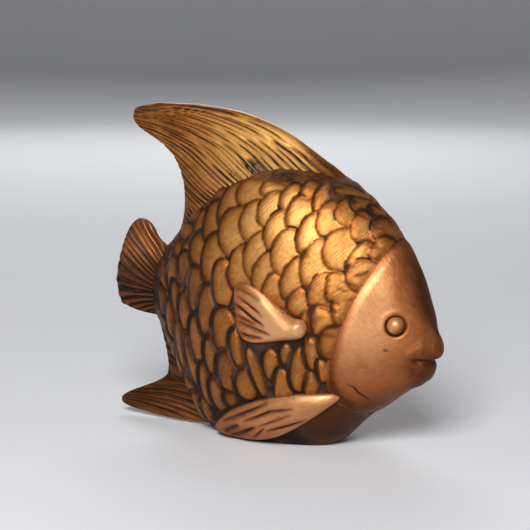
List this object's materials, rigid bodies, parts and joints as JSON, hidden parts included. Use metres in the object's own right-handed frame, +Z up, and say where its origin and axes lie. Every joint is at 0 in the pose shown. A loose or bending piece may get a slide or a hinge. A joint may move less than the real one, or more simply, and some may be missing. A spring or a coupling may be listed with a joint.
{
  "type": "fish figurine",
  "caption": "Free-standing angelfish ornament: hollow scaled body with a smooth head, tall swept dorsal fin, tail, paired fins and a flat foot.",
  "frame": {"origin": "middle of the foot plate's underside, on the surface that the figurine stands on", "axes": "+X from the tail to the mouth, +Y to the fish's left, +Z up"},
  "size_m": [0.1488, 0.0674, 0.1301],
  "materials": {
    "gold_bronze": "yellow bronze paint rubbed over a dark ground",
    "copper_bronze": "red copper-bronze paint, brushed, over a dark ground",
    "brown_bronze": "brown bronze paint with dark grooves",
    "bare_clay": "dark unpolished underside"
  },
  "bodies": {
    "root": {"right_flank_shell": "gold_bronze", "left_flank_shell": "gold_bronze", "head_shell": "copper_bronze", "dorsal_fin": "gold_bronze", "tail_fin": "brown_bronze", "anal_fin": "brown_bronze", "right_pectoral_fin": "copper_bronze", "left_pectoral_fin": "copper_bronze", "right_pelvic_fin": "copper_bronze", "left_pelvic_fin": "copper_bronze", "right_eye": "copper_bronze", "left_eye": "copper_bronze", "foot_plate": "bare_clay"}
  },
  "joints": []
}
